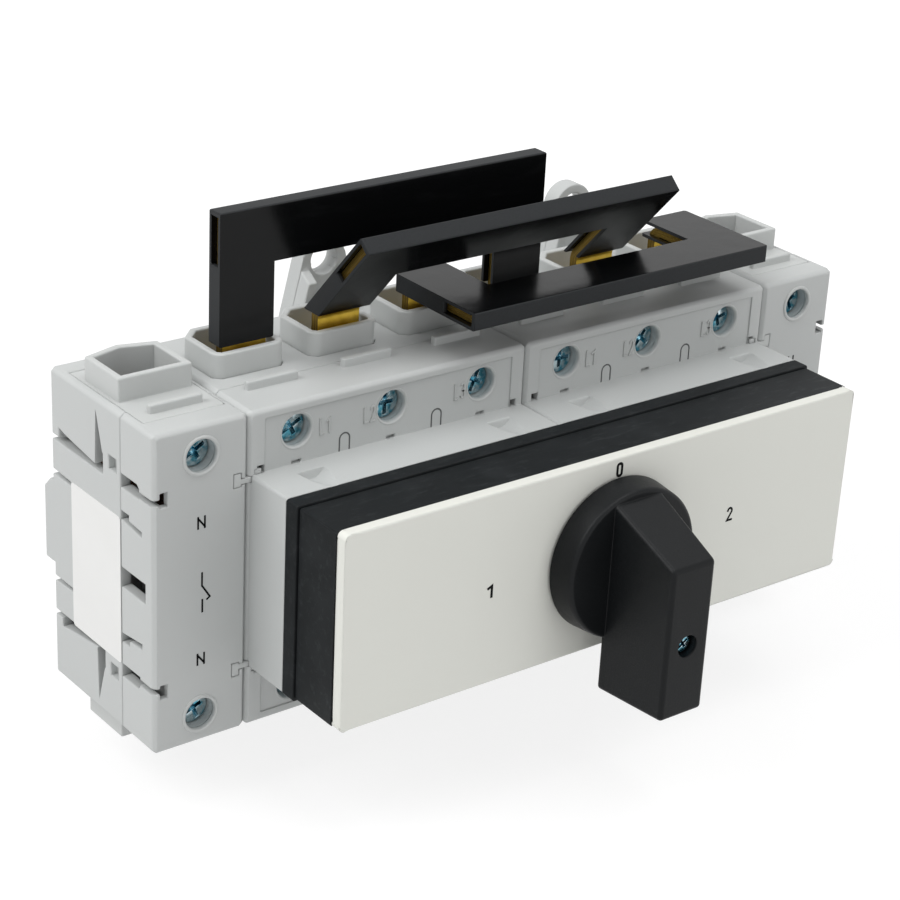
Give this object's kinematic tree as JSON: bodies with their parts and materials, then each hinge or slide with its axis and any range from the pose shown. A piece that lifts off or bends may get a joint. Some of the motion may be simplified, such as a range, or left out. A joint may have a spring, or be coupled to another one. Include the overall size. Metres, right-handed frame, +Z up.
{
  "type": "manual transfer switch",
  "caption": "Rotary manual transfer switch: twin three-pole blocks with neutral end poles, bridged upper terminals and a centre-off handle.",
  "frame": {"origin": "centre of the rear mounting plane, at the joint of the two switch blocks and at mid-height", "axes": "+X right along the rail seen from the front, +Y back into the panel, +Z up"},
  "size_m": [0.1889, 0.1032, 0.1255],
  "materials": {
    "housing_plastic": "light grey moulded plastic, fine texture",
    "plate_plastic": "off-white moulded plastic, satin",
    "mechanism_plastic": "black moulded plastic",
    "knob_plastic": "black plastic, satin",
    "sheath_plastic": "black plastic, glossy",
    "latch_plastic": "black moulded plastic",
    "carrier_plastic": "brown moulded plastic",
    "brass_sheet": "sheet brass",
    "copper": "tinned and plain copper",
    "plated_steel": "zinc plated",
    "spring_steel": "bright spring steel",
    "label_film": "white film, bare"
  },
  "bodies": {
    "housing": {"left_switch_base": "housing_plastic", "left_switch_cover": "housing_plastic", "left_switch_upper_shroud": "housing_plastic", "left_switch_lower_shroud": "housing_plastic", "right_switch_base": "housing_plastic", "right_switch_cover": "housing_plastic", "right_switch_upper_shroud": "housing_plastic", "right_switch_lower_shroud": "housing_plastic", "left_neutral_base": "housing_plastic", "left_neutral_cover": "housing_plastic", "left_neutral_upper_shroud": "housing_plastic", "left_neutral_lower_shroud": "housing_plastic", "right_neutral_base": "housing_plastic", "right_neutral_cover": "housing_plastic", "right_neutral_upper_shroud": "housing_plastic", "right_neutral_lower_shroud": "housing_plastic", "upper_terminal_cages": "plated_steel", "upper_terminal_screws": "plated_steel", "upper_fixed_contacts": "copper", "lower_terminal_cages": "plated_steel", "lower_terminal_screws": "plated_steel", "lower_fixed_contacts": "copper", "phase_1_bridge_sheath": "sheath_plastic", "phase_1_bridge_bar": "brass_sheet", "phase_2_bridge_sheath": "sheath_plastic", "phase_2_bridge_bar": "brass_sheet", "phase_3_bridge_sheath": "sheath_plastic", "phase_3_bridge_bar": "brass_sheet", "joining_clips": "latch_plastic", "mechanism_frame": "mechanism_plastic", "mechanism_cover": "mechanism_plastic", "front_plate": "plate_plastic", "detent_spring": "spring_steel", "rating_label": "label_film"},
    "handle": {"knob": "knob_plastic", "knob_screw": "plated_steel", "drive_shaft": "plated_steel"},
    "contact_slide": {"transfer_slide": "carrier_plastic", "left_switch_carrier": "carrier_plastic", "left_switch_moving_contacts": "copper", "right_switch_carrier": "carrier_plastic", "right_switch_moving_contacts": "copper", "left_neutral_carrier": "carrier_plastic", "left_neutral_moving_contacts": "copper", "right_neutral_carrier": "carrier_plastic", "right_neutral_moving_contacts": "copper"},
    "left_latch": {"left_switch_rail_latch": "latch_plastic"},
    "right_latch": {"right_switch_rail_latch": "latch_plastic"}
  },
  "joints": [
    {"name": "knob_turn", "type": "hinge", "parent": "housing", "child": "handle", "pos_m": [0, -0.08, 0], "axis": [0, 1, 0], "range_deg": [-90, 90]},
    {"name": "slide_travel", "type": "slide", "parent": "housing", "child": "contact_slide", "axis": [1, 0, 0], "range_m": [-0.0055, 0.0055]},
    {"name": "left_latch_pull", "type": "slide", "parent": "housing", "child": "left_latch", "axis": [0, 0, -1], "range_m": [0, 0.003], "stiffness_N_per_m": 600, "springref_m": -0.001},
    {"name": "right_latch_pull", "type": "slide", "parent": "housing", "child": "right_latch", "axis": [0, 0, -1], "range_m": [0, 0.003], "stiffness_N_per_m": 600, "springref_m": -0.001}
  ],
  "couplings": [
    {"joint": "knob_turn", "follows": "slide_travel", "rad_per_m": 285.71}
  ]
}
